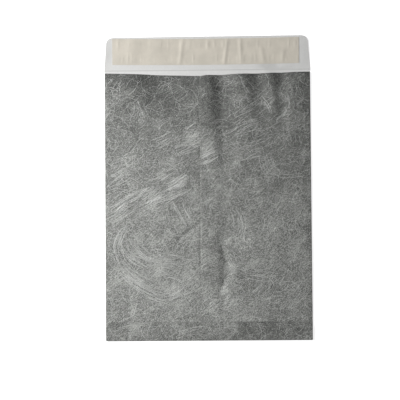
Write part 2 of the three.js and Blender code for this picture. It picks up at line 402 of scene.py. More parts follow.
    def material(self) -> Material:
        """Builds the material on the sheet's own flat coordinates.

        Returns:
            The finished material.
        """
        material, sketch = new_material(self.name)
        flat = sketch.output("ShaderNodeUVMap", uv_map=FLAT_MAP)
        place = sketch.vector("MULTIPLY", flat, (1.0 / MM, 1.0 / MM, 0.0))
        laid = [(layer, self.lay(sketch, place, layer)["Strand"]) for layer in self.layers]
        strands = sketch.total([sketch.math("MULTIPLY", strand, layer.strength) for layer, strand in laid])
        comb = self.lay(sketch, place, self.grain)["Comb"]
        fuzz = sketch.noise(place, self.fuzz_scale, detail=2.0, roughness=0.6)
        cloud = sketch.noise(place, self.cloud_scale, detail=3.0, roughness=0.55)
        web = sketch.total([
            sketch.math("ADD", sketch.math("MULTIPLY", strands, self.strand_gain), self.base),
            sketch.swing(comb, self.grain_gain, self.peak),
            sketch.swing(fuzz, self.fuzz_gain, self.peak),
        ])
        change = sketch.total(self.density(sketch, place) + [sketch.swing(cloud, self.cloud_gain)])
        depth = sketch.math("ADD", sketch.math("MULTIPLY", change, self.depth), 1.0)
        level = sketch.math("MULTIPLY", change, self.level)
        fibre = sketch.math("ADD", sketch.math("MULTIPLY", web, depth), level)
        amount = sketch.output("ShaderNodeClamp", {0: fibre, 2: self.headroom})
        colour = sketch.mix(amount, self.ground, self.strand)
        rough = sketch.fade(amount, 0.0, 1.0, *self.roughness)
        height = sketch.total([strands, fuzz, comb])
        sketch.surface(colour, rough, height, self.relief, self.bump_reach * MM, self.specular)
        return material


@dataclass(frozen=True)
class MottledFinish:
    """The look of calendered paper, a cut edge or a fibre: one mottled colour with a fine tooth."""

    name: str
    pale: Colour
    deep: Colour
    mottle_scale: float
    roughness: float
    tooth: float

    tooth_scale: ClassVar[float] = 1400.0
    colour_range: ClassVar[tuple[float, float]] = (0.28, 0.72)
    rough_range: ClassVar[tuple[float, float]] = (0.2, 0.8)
    rough_swing: ClassVar[float] = 0.05
    bump_reach: ClassVar[float] = 0.1
    specular: ClassVar[float] = 0.35

    def material(self) -> Material:
        """Builds the material on Object coordinates.

        Returns:
            The finished material.
        """
        material, sketch = new_material(self.name)
        place = sketch.add("ShaderNodeTexCoord").outputs["Object"]
        mottle = sketch.noise(place, self.mottle_scale, detail=5.0, roughness=0.62)
        tooth = sketch.noise(place, self.tooth_scale, detail=2.0)
        colour = sketch.mix(sketch.fade(mottle, *self.colour_range), self.deep, self.pale)
        matt, sleek = self.roughness + self.rough_swing, self.roughness - self.rough_swing
        rough = sketch.fade(mottle, *self.rough_range, low=matt, high=sleek)
        sketch.surface(colour, rough, tooth, self.tooth, self.bump_reach * MM, self.specular)
        return material


@dataclass(frozen=True)
class AdhesiveFinish:
    """The look of the tacky band: pale, slightly wet, with small bubbles."""

    name: str = "tacky_adhesive"
    pale: Colour = (0.80, 0.77, 0.69)
    deep: Colour = (0.71, 0.68, 0.59)
    streak_scale: float = 120.0
    bubble_scale: float = 420.0
    bubble_edge: tuple[float, float] = (0.15, 0.4)
    roughness: tuple[float, float] = (0.22, 0.38)
    relief: float = 0.2
    bump_reach: float = 0.2
    specular: float = 0.5

    def material(self) -> Material:
        """Builds the material on Object coordinates.

        Returns:
            The finished material.
        """
        material, sketch = new_material(self.name)
        place = sketch.add("ShaderNodeTexCoord").outputs["Object"]
        feeds = {"Vector": place, "Scale": self.bubble_scale}
        cells = sketch.add("ShaderNodeTexVoronoi", feeds).outputs["Distance"]
        bubble = sketch.fade(cells, *self.bubble_edge, low=1.0, high=0.0)
        streak = sketch.noise(place, self.streak_scale, detail=3.0)
        colour = sketch.mix(streak, self.deep, self.pale)
        rough = sketch.fade(bubble, 0.0, 1.0, *self.roughness)
        sketch.surface(colour, rough, bubble, self.relief, self.bump_reach * MM, self.specular)
        return material


GREY_FACE = SpunbondFinish(
    name="spunbond_grey_face",
    ground=(0.066, 0.068, 0.064),
    strand=(0.53, 0.54, 0.515),
    headroom=1.5,
    base=0.075,
    strand_gain=0.47,
    grain_gain=0.8,
    fuzz_gain=2.0,
    cloud_gain=0.4,
    peak=3.0,
    depth=0.5,
    level=0.24,
    roughness=(0.62, 0.5),
    relief=0.35,
    grain=StrandLayer(38.0, 4.0, 1.0, 26.0, 42.0, -1.0, 1.0, 23.1),
    layers=(
        StrandLayer(28.0, 8.0, 0.9, 14.0, 16.0, -1.0, 0.55, 1.3),
        StrandLayer(-40.0, 7.0, 0.9, 14.0, 16.0, -1.0, 0.5, 4.7),
        StrandLayer(75.0, 8.0, 0.9, 14.0, 18.0, -1.0, 0.5, 8.1),
        StrandLayer(35.0, 30.0, 1.2, 20.0, 60.0, 0.46, 0.65, 12.9),
        StrandLayer(55.0, 24.0, 1.1, 30.0, 34.0, 0.48, 0.65, 17.3),
    ),
    bands=(
        # Painted shade together with thinner fibre: the back panels grow darker from 120 mm up to the
        # mouth.
        FibreAndLightingBand(120.0, 325.0, -0.5),
        # Painted shade on the rolled lip: darker from 318 mm up to the mouth.
        FibreAndLightingBand(318.0, 330.0, -0.2),
        FibreAndLightingBand(1.0, -1.0, -0.17),
    ),
    patches=(
        # Painted shade: these four patches darken the left panel just below the mouth.
        FibreAndLightingPatch(Panel.LEFT, -60, 322, 100, 50, -0.2),
        FibreAndLightingPatch(Panel.LEFT, -96, 320, 34, 16, -0.34),
        FibreAndLightingPatch(Panel.LEFT, -54, 302, 44, 22, -0.24),
        FibreAndLightingPatch(Panel.LEFT, -14, 314, 26, 20, -0.28),
        FibreAndLightingPatch(Panel.LEFT, -112, 302, 20, 20, 0.4),
        FibreAndLightingPatch(Panel.LEFT, -67, 268, 24, 22, 0.42),
        FibreAndLightingPatch(Panel.LEFT, -13, 252, 20, 24, 0.4),
        FibreAndLightingPatch(Panel.LEFT, -56, 218, 20, 16, 0.36),
        FibreAndLightingPatch(Panel.LEFT, -82, 197, 30, 22, 0.2),
        FibreAndLightingPatch(Panel.LEFT, -88, 144, 30, 30, 0.14),
        FibreAndLightingPatch(Panel.LEFT, -40, 88, 40, 30, 0.14),
        FibreAndLightingPatch(Panel.LEFT, -70, 50, 90, 90, 0.1),
        FibreAndLightingPatch(Panel.LEFT, -52, 44, 30, 24, 0.24),
        FibreAndLightingPatch(Panel.LEFT, -16, 72, 26, 44, 0.2),
        FibreAndLightingPatch(Panel.LEFT, -50, 276, 26, 20, -0.24),
        FibreAndLightingPatch(Panel.LEFT, -94, 250, 26, 16, -0.2),
        FibreAndLightingPatch(Panel.RIGHT, -2, 318, 16, 14, -0.3),
        FibreAndLightingPatch(Panel.RIGHT, 18, 298, 28, 40, -0.26),
        FibreAndLightingPatch(Panel.RIGHT, 36, 297, 16, 14, 0.2),
        FibreAndLightingPatch(Panel.RIGHT, 30, 268, 30, 22, -0.32),
        FibreAndLightingPatch(Panel.RIGHT, 66, 312, 20, 14, -0.24),
        FibreAndLightingPatch(Panel.RIGHT, 100, 294, 14, 34, -0.2),
        FibreAndLightingPatch(Panel.RIGHT, 70, 262, 18, 14, 0.24),
        FibreAndLightingPatch(Panel.RIGHT, 0, 234, 18, 30, 0.36),
        # Painted light beside the top of the long groove.
        FibreAndLightingPatch(Panel.RIGHT, 20, 169, 18, 18, 0.36),
        FibreAndLightingPatch(Panel.RIGHT, 58, 120, 40, 22, 0.14),
        FibreAndLightingPatch(Panel.RIGHT, 0, 66, 18, 40, 0.2),
        FibreAndLightingPatch(Panel.RIGHT, 24, 50, 26, 28, 0.2),
        # Painted highlight on the lit facet beside the kink.
        FibreAndLightingPatch(Panel.RIGHT, 30, 83, 12, 20, 0.4),
        FibreAndLightingPatch(Panel.RIGHT, 1, 119, 16, 16, 0.36),
        FibreAndLightingPatch(Panel.RIGHT, 80, 78, 34, 32, -0.26),
        FibreAndLightingPatch(Panel.RIGHT, 84, 28, 66, 24, -0.2),
        FibreAndLightingPatch(Panel.RIGHT, 114, 105, 18, 22, 0.24),
        # Painted shade along the right side fold, which rolls away from the light.
        FibreAndLightingPatch(Panel.RIGHT, 129, 170, 16, 260, -0.28),
        # Painted light along the left side fold, which faces the light.
        FibreAndLightingPatch(Panel.LEFT, -128, 280, 10, 90, 0.2),
        # Painted light where the valley beside the seam shows less shade.
        FibreAndLightingPatch(Panel.RIGHT, 20, 242, 14, 18, 0.22),
        # Painted shade in the long groove.
        FibreAndLightingPatch(Panel.RIGHT, 18, 140, 16, 14, -0.26),
        # Painted light beside the long groove.
        FibreAndLightingPatch(Panel.RIGHT, 43, 131, 16, 20, 0.18),
        FibreAndLightingPatch(Panel.RIGHT, 122, 48, 18, 40, -0.2),
        FibreAndLightingPatch(Panel.RIGHT, 86, 309, 12, 14, -0.3),
        FibreAndLightingPatch(Panel.LEFT, -94, 52, 28, 22, 0.18),
        FibreAndLightingPatch(Panel.LEFT, -104, 282, 34, 14, -0.22),
        FibreAndLightingPatch(Panel.LEFT, -106, 168, 24, 22, -0.16),
        FibreAndLightingPatch(Panel.LEFT, -122, 128, 14, 24, -0.24),
        FibreAndLightingPatch(Panel.BOTTOM, 0, 18, 18, 14, 0.26),
        FibreAndLightingPatch(Panel.BOTTOM, 40, 10, 24, 26, -0.34),
        FibreAndLightingPatch(Panel.BOTTOM, 84, 10, 66, 34, -0.36),
        FibreAndLightingPatch(Panel.BOTTOM, -70, 14, 90, 20, 0.16),
    ),
)
WHITE_FACE = SpunbondFinish(
    name="spunbond_white_face",
    ground=(0.60, 0.60, 0.587),
    strand=(0.84, 0.84, 0.83),
    headroom=1.0,
    base=0.52,
    strand_gain=0.2,
    grain_gain=0.1,
    fuzz_gain=0.4,
    cloud_gain=0.2,
    peak=0.0,
    depth=1.0,
    level=0.0,
    roughness=(0.62, 0.55),
    relief=0.18,
    grain=GREY_FACE.grain,
    layers=GREY_FACE.layers[:3],
    # Painted light and a pressed line: the throat below the score is left whiter than the flap as painted
    # light, and the dark score line is partly fused, pressed fibre and partly painted crease shade.
    bands=(FibreAndLightingBand(332.4, 333.1, -1.12), FibreAndLightingBand(333.5, 334.2, 0.9)),
    patches=(
        FibreAndLightingPatch(Panel.FRONT, 76, 337, 22, 8, -0.75),
        FibreAndLightingPatch(Panel.FRONT, 100, 336, 22, 8, -0.4),
        FibreAndLightingPatch(Panel.FRONT, -126, 356, 18, 30, -0.6),
        FibreAndLightingPatch(Panel.FRONT, 126, 356, 22, 30, -0.45),
    ),
)
CUT_EDGE = MottledFinish("spunbond_cut_edge", (0.66, 0.66, 0.65), (0.5, 0.5, 0.49), 700.0, 0.65, 0.2)
FIBRE = MottledFinish("spunbond_fibre", (0.81, 0.82, 0.80), (0.59, 0.60, 0.58), 110.0, 0.5, 0.1)
STRIP_FACE = MottledFinish("release_paper", (0.675, 0.63, 0.548), (0.595, 0.557, 0.484), 55.0, 0.48, 0.12)
STRIP_EDGE = MottledFinish("release_paper_edge", (0.66, 0.6, 0.5), (0.52, 0.47, 0.39), 600.0, 0.6, 0.1)


@dataclass(frozen=True)
class Valley:
    """A soft valley that runs down a back panel from the mouth, with a left and a right wall."""

    x: float
    left: float
    right: float
    depth: float
    reach: float
    lean: float

    def dip(self, x: np.ndarray, down: np.ndarray) -> np.ndarray:
        """Depth of the valley at x and at a distance down from the mouth."""
        offset = x - self.x - self.lean * down
        offset = offset / np.where(offset < 0.0, self.left, self.right)
        return self.depth * np.exp(-offset * offset) * (1.0 - ease(down / self.reach))


@dataclass(frozen=True)
class Crease:
    """A handling crease: a low sharp ridge, or a groove if its height is negative, along a straight run.

    Its two widths are those of its sides, left and right as seen from the end of a run down the sheet.
    """

    start: tuple[float, float]
    end: tuple[float, float]
    height: float
    widths: tuple[float, float]

    run_out: ClassVar[float] = 3.0
    ease_in: ClassVar[float] = 8.0
    bluntness: ClassVar[float] = 0.18

    def rise(self, x: np.ndarray, y: np.ndarray) -> np.ndarray:
        """Height of the crease at each place of a panel.

        Args:
            x: place across the envelope.
            y: place along it from the bottom fold.

        Returns:
            The height, which fades out past both ends of the run.
        """
        run = np.subtract(self.end, self.start)
        length = float(np.hypot(*run))
        along = ((x - self.start[0]) * run[0] + (y - self.start[1]) * run[1]) / length
        across = ((y - self.start[1]) * run[0] - (x - self.start[0]) * run[1]) / length
        before, after = along + self.run_out, length + self.run_out - along
        share = across / np.where(across < 0.0, *self.widths)
        crest = np.exp(self.bluntness - np.hypot(share, self.bluntness))
        return self.height * crest * (ease(before / self.ease_in) * ease(after / self.ease_in))


@dataclass(frozen=True)
class Undulation:
    """Slight waviness of a soft sheet: a few shallow waves with fixed random directions."""

    height: float
    shortest: float
    longest: float
    waves: int
    seed: int

    def rise(self, x: np.ndarray, y: np.ndarray) -> np.ndarray:
        """Height of the waves at each place.

        Args:
            x: place across the envelope.
            y: place along it from the bottom fold.

        Returns:
            The height, above or below the even sheet.
        """
        chance = np.random.default_rng(self.seed)
        total = np.zeros(np.broadcast(x, y).shape)
        for _ in range(self.waves):
            turn = chance.uniform(0.0, math.tau)
            pitch = chance.uniform(self.shortest, self.longest)
            shift = chance.uniform(0.0, math.tau)
            run = x * math.cos(turn) + y * math.sin(turn)
            total = total + np.cos(math.tau * run / pitch + shift)
        return self.height * total / math.sqrt(self.waves)


def numbered(*grids: np.ndarray) -> list[np.ndarray]:
    """Point numbers of several grids, counted on from one to the next."""
    first, numbers = 0, []
    for grid in grids:
        rows, columns = grid.shape[:2]
        numbers.append(first + np.arange(rows * columns).reshape(rows, columns))
        first += rows * columns
    return numbers


def quads(number: np.ndarray) -> np.ndarray:
    """Faces of a grid, as four point numbers each."""
    corners = [number[:-1, :-1], number[1:, :-1], number[1:, 1:], number[:-1, 1:]]
    return np.stack(corners, -1).reshape(-1, 4)


def new_object(name: str, data: bpy.types.ID) -> Piece:
    """Puts data such as a mesh or a lamp into the scene as an object."""
    made = bpy.data.objects.new(name, data)
    bpy.context.collection.objects.link(made)
    return made


def mesh_piece(name: str, points: np.ndarray, faces: np.ndarray) -> Piece:
    """Makes an object from points in millimetres above the bottom fold.

    Args:
        name: the piece's name.
        points: x, y and z of each point.
        faces: point numbers of each face.

    Returns:
        The object, at the origin, with its place in its mesh.
    """
    shift = np.array([0.0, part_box("envelope")[0].y / MM, 0.0])
    mesh = bpy.data.meshes.new(name)
    mesh.from_pydata(((points + shift) * MM).tolist(), [], faces.tolist())
    mesh.validate()
    return new_object(name, mesh)


def apply_modifier(piece: Piece, modifier: bpy.types.Modifier) -> None:
    """Makes what a modifier gives the piece's own plain mesh, and removes the modifier."""
    graph = bpy.context.evaluated_depsgraph_get()
    made = bpy.data.meshes.new_from_object(piece.evaluated_get(graph))
    piece.modifiers.remove(modifier)
    piece.data = made
    made.name = piece.name


def thicken(piece: Piece, thickness: float, finishes: list[Material]) -> None:
    """Gives a mid surface its sheet thickness and turns the result into a plain mesh.

    Args:
        piece: an open surface whose normals point to the outer face.
        thickness: the sheet's thickness.
        finishes: materials of the outer face, the inner face and the cut edge.
    """
    for finish in finishes:
        piece.data.materials.append(finish)
    solidify = piece.modifiers.new("sheet_thickness", "SOLIDIFY")
    solidify.thickness = thickness * MM
    solidify.offset = 0.0
    solidify.use_even_offset = True
    solidify.material_offset = 1
    solidify.material_offset_rim = 2
    apply_modifier(piece, solidify)
    solid = piece.data
    solid.polygons.foreach_set("use_smooth", [True] * len(solid.polygons))
    solid.set_sharp_from_angle(angle=math.radians(SHARP_ANGLE))


@dataclass(frozen=True)
class SheetMesh:
    """How finely the folded sheet is meshed.

    Each back panel has its own finer pitch between the seam and the end of its creases, and the finest
    one beside the seam. Rows lie closer in the last stretch below the mouth. Those at the seal flap's neck
    and root are given as distances past the end of the body.
    """

    pitch: float = 2.2
    front_pitch: float = 4.0
    left_pitch: float = 1.5
    left_end: float = -37.7
    right_pitch: float = 1.2
    right_end: float = 36.0
    seam_pitch: float = 0.5
    seam_under: float = 1.0
    seam_beside: float = 3.0
    mouth_reach: float = 8.0
    mouth_steps: int = 10
    neck_rows: tuple[float, ...] = (0.4, 0.9, 1.4, 1.8, 2.5)
    root_rows: tuple[float, ...] = (4.2, 5.4, 7.0)
    flap_pitch: float = 2.5
    corner_rows: int = 9
    bottom_rows: int = 12
    arc_steps: int = 8


@dataclass
class FoldedSheet:
    """The envelope itself: one sheet rolled into front and back panels, with a bottom and a seal flap."""

    width: float = BODY_WIDTH
    length: float = 330.2
    sheet: float = 0.2
    glue: float = 0.1
    fold_radius: float = 0.55

    pillow_rise: float = 8.5
    pillow_full_at: float = 0.62
    pillow_at_mouth: float = 0.92
    loose_from: float = 2.0

    seam_edge: float = -9.7
    hidden_edge: float = 11.7
    step_end: float = 19.0
    seam_step: float = 0.34
    step_reach: float = 60.0

    throat_left: float = 4.9
    throat_right: float = 4.0
    clip_start: float = -2.0
    clip_drop: float = 1.2
    lip_length: float = 9.0
    lip_drop: float = 1.1

    bottom_flap: float = 23.2
    bottom_half: float = 126.6
    bottom_corner: float = 7.0
    bottom_bend: float = 0.95
    cover_start: float = -14.0
    curl_rise: float = 0.6
    curl_start: float = 84.0
    curl_width: float = 42.0
    ridge_rise: float = 0.25
    ridge_x: float = 36.4
    ridge_width: float = 3.0
    ridge_reach: float = 6.0

    flap_top: float = 375.2
    flap_skew: float = 0.0035
    flap_root: float = 333.4
    flap_root_half: float = 127.5
    flap_taper: float = 0.07
    flap_corner: float = 8.0
    flap_cut_share: float = 0.98
    flap_lift: float = 0.5
    flap_lift_middle: float = 0.55
    flap_lift_sides: float = 0.45
    neck_start: float = 0.4
    neck_length: float = 1.4

    valleys: tuple[Valley, ...] = (
        Valley(x=-59.0, left=18.0, right=44.0, depth=5.3, reach=100.0, lean=0.0),
        Valley(x=-20.0, left=8.0, right=10.0, depth=1.6, reach=60.0, lean=0.0),
        Valley(x=15.0, left=10.5, right=15.0, depth=5.2, reach=160.0, lean=0.05),
        Valley(x=61.0, left=12.0, right=12.5, depth=4.2, reach=105.0, lean=0.12),
        Valley(x=90.0, left=8.5, right=9.5, depth=2.8, reach=110.0, lean=0.05),
    )
    creases: tuple[Crease, ...] = (
        Crease((-38.0, 123.0), (-10.5, 143.0), height=-1.2, widths=(2.0, 2.4)),
        Crease((-9.5, 290.0), (-9.5, 25.0), height=-0.34, widths=(1.4, 1.0)),
        Crease((22.0, 152.0), (17.0, 25.0), height=-0.9, widths=(8.0, 7.0)),
        Crease((12.5, 130.0), (25.0, 85.0), height=-1.5, widths=(7.0, 3.4)),
        Crease((25.5, 82.0), (11.5, 56.0), height=-1.9, widths=(8.0, 3.6)),
        Crease((33.0, 92.0), (31.0, 75.0), height=0.9, widths=(5.0, 9.0)),
        Crease((36.0, 77.0), (88.0, 77.0), height=-0.4, widths=(4.0, 4.0)),
        Crease((125.0, 72.0), (93.0, 53.0), height=-0.4, widths=(2.5, 2.5)),
    )
    undulation: Undulation = Undulation(height=0.22, shortest=28.0, longest=80.0, waves=14, seed=11)
    mesh: SheetMesh = SheetMesh()

    @property
    def fold_x(self) -> float:
        """Where the flat panels end and the side folds begin."""
        return self.width / 2.0 - self.fold_radius - self.sheet / 2.0

    def left_mouth(self, x: np.ndarray) -> np.ndarray:
        """Upper edge of the left panel: half of the shallow V of the mouth."""
        half = self.width / 2.0
        return self.length - self.throat_left * (x + half) / (self.seam_edge + half)

    def right_mouth(self, x: np.ndarray) -> np.ndarray:
        """Upper edge of the right panel, with its clipped corner at the seam."""
        half = self.width / 2.0
        slope = self.length - self.throat_right * (half - x) / (half - self.clip_start)
        clip = np.clip((self.clip_start - x) / (self.clip_start - self.seam_edge), 0.0, 1.0)
        return slope - self.clip_drop * clip

    def back_height(self, x: np.ndarray, y: np.ndarray) -> np.ndarray:
        """Middle height of the lower back layer.

        Args:
            x: place across the envelope.
            y: place along it from the bottom fold.

        Returns:
            Height of the sprung pocket, with its valleys, creases, waves and rolled lip.
        """
        along = np.clip(y / self.length, 0.0, 1.0)
        across = np.maximum(0.0, 1.0 - (x / self.fold_x) ** 2)
        past_full = ease((along - self.pillow_full_at) / (1.0 - self.pillow_full_at))
        fall = (1.0 - self.pillow_at_mouth) * past_full
        pillow = self.pillow_rise * across * (ease(along / self.pillow_full_at) - fall)
        height = self.sheet / 2.0 + 2.0 * self.fold_radius + pillow
        down = np.maximum(0.0, self.length - y)
        for valley in self.valleys:
            height = height - valley.dip(x, down)
        loose = np.minimum(1.0, pillow / self.loose_from)
        for form in (*self.creases, self.undulation):
            height = height + loose * form.rise(x, y)
        lip = ease((y - self.right_mouth(np.abs(x)) + self.lip_length) / self.lip_length)
        return height - self.lip_drop * across * lip

    def right_height(self, x: np.ndarray, y: np.ndarray) -> np.ndarray:
        """Middle height of the right panel, which steps down past the hidden edge of the left one."""
        over = 1.0 - ease((x - self.hidden_edge) / (self.step_end - self.hidden_edge))
        lift = self.sheet + self.glue
        return self.back_height(x, y) + over * (lift + (self.seam_step - lift) * ease(y / self.step_reach))

    def bottom_height(self, x: np.ndarray, y: np.ndarray) -> np.ndarray:
        """Middle height of the bottom flap over one or two panels.

        Args:
            x: place across the envelope.
            y: place along it from the bottom fold.

        Returns:
            Height of the flap, with its curled corners and its low ridge.
        """
        before_seam = ease((x - self.cover_start) / (self.seam_edge - self.cover_start))
        covered = np.where(x < self.seam_edge, before_seam, 1.0)
        back = self.back_height(x, y)
        out = ease((np.abs(x) - self.curl_start) / self.curl_width)
        curl = self.curl_rise * out * ease(y / self.bottom_flap)
        crest = np.exp(-np.abs(x - self.ridge_x) / self.ridge_width)
        ridge = self.ridge_rise * crest * ease(y / self.ridge_reach)
        return back + (self.right_height(x, y) - back) * covered + self.sheet + self.glue + curl + ridge

    def flap_height(self, x: np.ndarray, y: np.ndarray) -> np.ndarray:
        """Middle height of the open seal flap, which lifts more at its sides."""
        up = ease((y - self.flap_root) / (self.flap_top - self.flap_root))
        share = self.flap_lift_middle + self.flap_lift_sides * (x / self.flap_root_half) ** 2
        return self.sheet / 2.0 + self.flap_lift * up * share

    def flap_half(self, y: float) -> float:
        """Half width of the seal flap at a row: neck, root, tapered sides and round corners."""
        start = self.length + self.neck_start
        neck = min(1.0, max(0.0, (y - start) / self.neck_length))
        root = self.fold_x + (self.flap_root_half - self.fold_x) * neck
        into = max(0.0, y - (self.flap_top - self.flap_corner))
        corner = self.flap_corner - math.sqrt(max(0.0, self.flap_corner**2 - into**2))
        return root - self.flap_taper * max(0.0, y - self.flap_root) - corner

    def rolled(self) -> tuple[np.ndarray, np.ndarray, slice]:
        """The rolled part of the mid surface, from the left free edge round to the right free edge.

        Returns:
            Points and flat coordinates on a grid of path stations by rows, and the front panel's stations.
        """
        mesh, edge, left_fold_x = self.mesh, self.seam_edge, -self.fold_x
        fine = mesh.mouth_reach / self.length
        rows = chained((0.0, 1.0 - fine, 1.0), (mesh.pitch / self.length, fine / mesh.mouth_steps))
        left = chained(
            (self.hidden_edge, edge + mesh.seam_under, edge - mesh.seam_beside, mesh.left_end, left_fold_x),
            (mesh.left_pitch, mesh.seam_pitch, mesh.left_pitch, mesh.pitch),
        )
        right = chained(
            (self.fold_x, mesh.right_end, edge + mesh.seam_beside, edge),
            (mesh.pitch, mesh.right_pitch, mesh.seam_pitch),
        )
        front = spread(-self.fold_x, self.fold_x, mesh.front_pitch)
        arc = np.linspace(0.0, math.pi, mesh.arc_steps + 1)[1:-1]
        bulge, rise = self.fold_radius * np.sin(arc), self.fold_radius * np.cos(arc)
        left_fold, right_fold = -self.fold_x - bulge, self.fold_x + bulge
        low = self.sheet / 2.0
        middle = low + self.fold_radius
        straight = np.full(front.size + 2 * arc.size, self.length)
        tops = np.concatenate([self.left_mouth(left), straight, self.right_mouth(right)])
        y = self.bottom_bend + (tops[:, None] - self.bottom_bend) * rows
        across = [left, left_fold, front, right_fold, right]
        heights = [0.0 * left, middle + rise, 0.0 * front + low, middle - rise, 0.0 * right]
        unrolled = [-self.width - left, left_fold, front, right_fold, self.width - right]
        x, z, flat = (np.concatenate(parts)[:, None] + 0.0 * y for parts in (across, heights, unrolled))
        z[: left.size] = self.back_height(x[: left.size], y[: left.size])
        z[-right.size :] = self.right_height(x[-right.size :], y[-right.size :])
        first = left.size + arc.size
        return np.stack([x, y, z], -1), np.stack([flat, y], -1), slice(first, first + front.size)

    def seal_flap_rows(self, front: np.ndarray) -> tuple[np.ndarray, np.ndarray]:
        """Rows of the seal flap above the front panel's upper end.

        Args:
            front: x of the front panel's stations.

        Returns:
            Points and flat coordinates, stations by rows.
        """
        mesh = self.mesh
        turns = np.linspace(0.0, math.pi / 2.0, mesh.corner_rows)
        corner = self.flap_top - self.flap_corner * (1.0 - np.sin(turns))
        root = np.array([*mesh.neck_rows, self.flap_root - self.length, *mesh.root_rows]) + self.length
        rows = np.concatenate([root, spread(root[-1], corner[0], mesh.flap_pitch)[1:-1], corner])
        share = front / self.fold_x
        x = np.stack([share * self.flap_half(y) for y in rows], 1)
        flat_y = np.broadcast_to(rows, x.shape)
        skew = self.flap_skew * ease((rows - self.flap_root) / (self.flap_top - self.flap_root))
        z = self.flap_height(x, flat_y)
        return np.stack([x, flat_y + skew * x, z], -1), np.stack([x, flat_y], -1)

    def bottom_flap_rows(self, front: np.ndarray) -> tuple[np.ndarray, np.ndarray]:
        """Rows of the bottom flap, round the bottom fold and up over the back panels.

        Args:
            front: x of the front panel's stations.

        Returns:
            Points and flat coordinates, stations by rows.
        """
        x = front * self.bottom_half / self.fold_x
        inset = np.maximum(0.0, np.abs(x) - (self.bottom_half - self.bottom_corner))
        end = self.bottom_flap - (self.bottom_corner - np.sqrt(self.bottom_corner**2 - inset**2))
        low = self.sheet / 2.0
        high = self.bottom_height(x, np.full(x.shape, self.bottom_bend))
        points, flats = [], []
        for turn in np.linspace(0.0, math.pi, self.mesh.arc_steps + 1)[1:]:
            y = self.bottom_bend - (self.bottom_bend - low) * math.sin(turn) + 0.0 * x
            z = (low + high) / 2.0 - (high - low) / 2.0 * math.cos(turn)
            points.append(np.stack([x, y, z], -1))
            flats.append(np.stack([x, self.bottom_bend - turn * (high - low) / 2.0], -1))
        for up in np.linspace(0.0, 1.0, self.mesh.bottom_rows)[1:]:
            y = self.bottom_bend + (end - self.bottom_bend) * up
            points.append(np.stack([x, y, self.bottom_height(x, y)], -1))
            flats.append(np.stack([x, -y], -1))
        return np.stack(points, 1), np.stack(flats, 1)

    def build(self) -> Piece:
        """Makes the mid surface of the folded sheet as one mesh.

        Returns:
            The piece, still without thickness, with its flat coordinates as a UV map.
        """
        grid, flat, front = self.rolled()
        flap, flap_flat = self.seal_flap_rows(grid[front, 0, 0])
        bottom, bottom_flat = self.bottom_flap_rows(grid[front, 0, 0])
        number, flap_number, bottom_number = numbered(grid, flap, bottom)
        up = np.concatenate([number[front, -1:], flap_number], 1)
        under = np.concatenate([number[front, :1], bottom_number], 1)
        faces = np.concatenate([quads(number)[:, ::-1], quads(up)[:, ::-1], quads(under)])
        points = np.concatenate([part.reshape(-1, 3) for part in (grid, flap, bottom)])
        flats = np.concatenate([part.reshape(-1, 2) for part in (flat, flap_flat, bottom_flat)])
        piece = mesh_piece("spunbond_sheet", points, faces)
        layer = piece.data.uv_layers.new(name=FLAT_MAP)
        corners = np.empty(len(piece.data.loops), dtype=np.int64)
        piece.data.loops.foreach_get("vertex_index", corners)
        layer.uv.foreach_set("vector", (flats[corners] * MM).astype(np.float32).ravel())
        return piece

    def dress(self, piece: Piece) -> Piece:
        """Args:
            piece: the folded mid surface.

        Returns:
            The finished piece.
        """
        thicken(piece, self.sheet, [face.material() for face in (GREY_FACE, WHITE_FACE, CUT_EDGE)])
        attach(piece, "root")
        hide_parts("envelope")
        return piece


@dataclass(frozen=True)
class Bundle:
    """A bundle of fibres that were laid down together along one guide.

    The spread is how far they lie to each side, the cover is the share of the guide that each one takes,
    and the width is a share of the usual strand width.
    """

    panel: Panel
    guide: tuple[tuple[float, float], ...]
    strands: int
    spread: float
    cover: float
    width: float = 1.0


class Draw(IntEnum):
    """Seeds of what is drawn at random for each strand."""

    COVER = 1
    START = 2
    SIDE = 3
    SLANT = 4
    LEVEL = 6
    TURN = 8
    SIZE = 9


